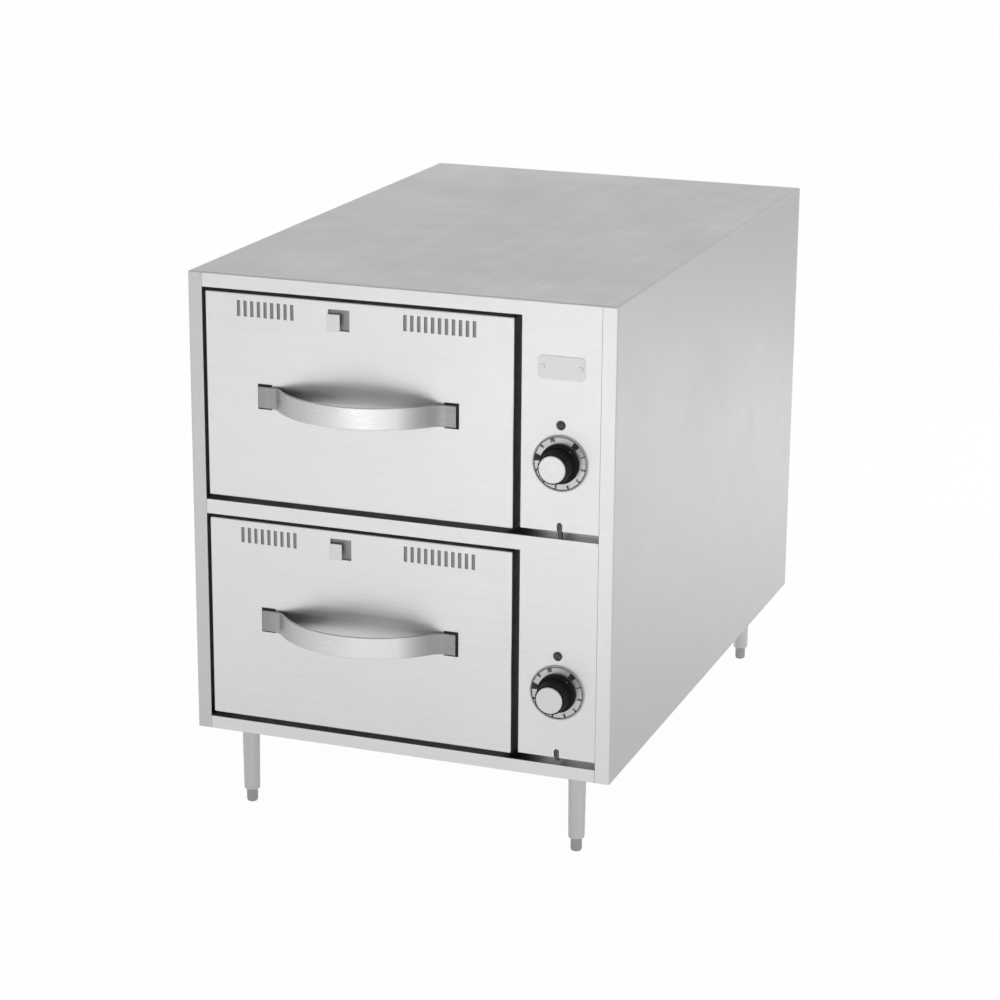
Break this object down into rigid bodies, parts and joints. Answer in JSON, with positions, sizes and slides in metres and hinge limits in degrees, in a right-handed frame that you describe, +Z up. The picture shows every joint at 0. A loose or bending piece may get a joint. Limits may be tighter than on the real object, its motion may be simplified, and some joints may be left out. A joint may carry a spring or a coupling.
{
  "type": "countertop warming drawer",
  "caption": "Free-standing narrow food-warming cabinet on legs: stacked pull-out pan drawers on roller slides beside a panel with thermostat knobs and pilot lamps.",
  "frame": {"origin": "centre of the footprint box on the surface that the feet stand on", "axes": "+X to the right of someone who faces the drawers, +Y to the back, +Z up"},
  "size_m": [0.508, 0.841, 0.648],
  "materials": {
    "brushed_stainless": "fine straight brushing",
    "polished_handle": "satin, brushed along its length",
    "rear_sheet": "mill finish",
    "zinc_slide": "bright zinc plate",
    "frame_steel": "plain stainless with bead-blasted welds",
    "pan_steel": "satin drawn stainless",
    "mineral_wool": "pressed fibre board",
    "shutter_steel": "satin",
    "knob_black": "moulded phenolic, satin",
    "spun_aluminium": "spun rings",
    "dial_face": "satin anodised with black numbers and ticks",
    "blank_badge": "satin, blank",
    "steel_fastener": "bright",
    "element_sheath": "dark oxidised nickel-alloy sheath",
    "thermostat_case": "plated steel case with copper capillary",
    "lamp_lens": "tinted lens",
    "terminal_plastic": "moulded nylon",
    "wire_jacket": "silicone jacket",
    "roller_nylon": "white nylon",
    "satin_leg": "satin nickel-plated tube"
  },
  "bodies": {
    "cabinet": {"back_panel": "rear_sheet", "badge_plate": "blank_badge", "base_panel": "brushed_stainless", "cabinet_screws": "steel_fastener", "control_partition": "rear_sheet", "cord_inlet_bushing": "terminal_plastic", "insulation_boards": "mineral_wool", "legs": "satin_leg", "lower_cavity_liner": "rear_sheet", "lower_dial_plate": "dial_face", "lower_element_saddles": "frame_steel", "lower_fascia": "brushed_stainless", "lower_heating_element": "element_sheath", "lower_pilot_lamp": "lamp_lens", "lower_slide_channels": "zinc_slide", "lower_thermostat": "thermostat_case", "outer_wrap": "brushed_stainless", "terminal_block": "terminal_plastic", "upper_cavity_liner": "rear_sheet", "upper_dial_plate": "dial_face", "upper_element_saddles": "frame_steel", "upper_fascia": "brushed_stainless", "upper_heating_element": "element_sheath", "upper_pilot_lamp": "lamp_lens", "upper_slide_channels": "zinc_slide", "upper_thermostat": "thermostat_case", "wiring_harness": "wire_jacket"},
    "lower_drawer": {"lower_drawer_runners": "zinc_slide", "lower_drawer_frame": "frame_steel", "lower_food_pan": "pan_steel", "lower_front_shell": "brushed_stainless", "lower_front_inner_panel": "rear_sheet", "lower_front_insulation": "mineral_wool", "lower_handle": "polished_handle", "lower_handle_screws": "steel_fastener"},
    "lower_vent_shutter": {"lower_vent_shutter": "shutter_steel"},
    "lower_knob": {"lower_knob": "knob_black", "lower_knob_cap": "spun_aluminium", "lower_control_shaft": "steel_fastener"},
    "lower_front_rollers": {"lower_front_rollers": "roller_nylon"},
    "lower_rear_rollers": {"lower_rear_rollers": "roller_nylon"},
    "upper_drawer": {"upper_drawer_runners": "zinc_slide", "upper_drawer_frame": "frame_steel", "upper_food_pan": "pan_steel", "upper_front_shell": "brushed_stainless", "upper_front_inner_panel": "rear_sheet", "upper_front_insulation": "mineral_wool", "upper_handle": "polished_handle", "upper_handle_screws": "steel_fastener"},
    "upper_vent_shutter": {"upper_vent_shutter": "shutter_steel"},
    "upper_knob": {"upper_knob": "knob_black", "upper_knob_cap": "spun_aluminium", "upper_control_shaft": "steel_fastener"},
    "upper_front_rollers": {"upper_front_rollers": "roller_nylon"},
    "upper_rear_rollers": {"upper_rear_rollers": "roller_nylon"},
    "front_left_foot": {"front_left_foot": "satin_leg"},
    "front_right_foot": {"front_right_foot": "satin_leg"},
    "rear_left_foot": {"rear_left_foot": "satin_leg"},
    "rear_right_foot": {"rear_right_foot": "satin_leg"}
  },
  "joints": [
    {"name": "lower_drawer_slide", "type": "slide", "parent": "cabinet", "child": "lower_drawer", "axis": [0, -1, 0], "range_m": [0, 0.53]},
    {"name": "lower_vent_shutter_slide", "type": "slide", "parent": "lower_drawer", "child": "lower_vent_shutter", "axis": [1, 0, 0], "range_m": [0, 0.004]},
    {"name": "lower_knob_turn", "type": "hinge", "parent": "cabinet", "child": "lower_knob", "pos_m": [0.19135, -0.3665, 0.2038], "axis": [0, 1, 0], "range_deg": [0, 300]},
    {"name": "lower_front_roller_spin", "type": "hinge", "parent": "cabinet", "child": "lower_front_rollers", "pos_m": [-0.04815, -0.3065, 0.3117], "axis": [1, 0, 0], "range_deg": [0, 3394]},
    {"name": "lower_rear_roller_spin", "type": "hinge", "parent": "lower_drawer", "child": "lower_rear_rollers", "pos_m": [-0.04815, 0.2475, 0.309], "axis": [1, 0, 0], "range_deg": [0, 3394]},
    {"name": "upper_drawer_slide", "type": "slide", "parent": "cabinet", "child": "upper_drawer", "axis": [0, -1, 0], "range_m": [0, 0.53]},
    {"name": "upper_vent_shutter_slide", "type": "slide", "parent": "upper_drawer", "child": "upper_vent_shutter", "axis": [1, 0, 0], "range_m": [0, 0.004]},
    {"name": "upper_knob_turn", "type": "hinge", "parent": "cabinet", "child": "upper_knob", "pos_m": [0.19135, -0.3665, 0.4693], "axis": [0, 1, 0], "range_deg": [0, 300]},
    {"name": "upper_front_roller_spin", "type": "hinge", "parent": "cabinet", "child": "upper_front_rollers", "pos_m": [-0.04815, -0.3065, 0.5772], "axis": [1, 0, 0], "range_deg": [0, 3394]},
    {"name": "upper_rear_roller_spin", "type": "hinge", "parent": "upper_drawer", "child": "upper_rear_rollers", "pos_m": [-0.04815, 0.2475, 0.5745], "axis": [1, 0, 0], "range_deg": [0, 3394]},
    {"name": "front_left_foot_levelling", "type": "slide", "parent": "cabinet", "child": "front_left_foot", "axis": [0, 0, -1], "range_m": [0, 0.019]},
    {"name": "rear_left_foot_levelling", "type": "slide", "parent": "cabinet", "child": "rear_left_foot", "axis": [0, 0, -1], "range_m": [0, 0.019]},
    {"name": "front_right_foot_levelling", "type": "slide", "parent": "cabinet", "child": "front_right_foot", "axis": [0, 0, -1], "range_m": [0, 0.019]},
    {"name": "rear_right_foot_levelling", "type": "slide", "parent": "cabinet", "child": "rear_right_foot", "axis": [0, 0, -1], "range_m": [0, 0.019]}
  ],
  "couplings": [
    {"joint": "lower_front_roller_spin", "follows": "lower_drawer_slide", "rad_per_m": 111.11},
    {"joint": "lower_rear_roller_spin", "follows": "lower_drawer_slide", "rad_per_m": 111.11},
    {"joint": "upper_front_roller_spin", "follows": "upper_drawer_slide", "rad_per_m": 111.11},
    {"joint": "upper_rear_roller_spin", "follows": "upper_drawer_slide", "rad_per_m": 111.11}
  ]
}
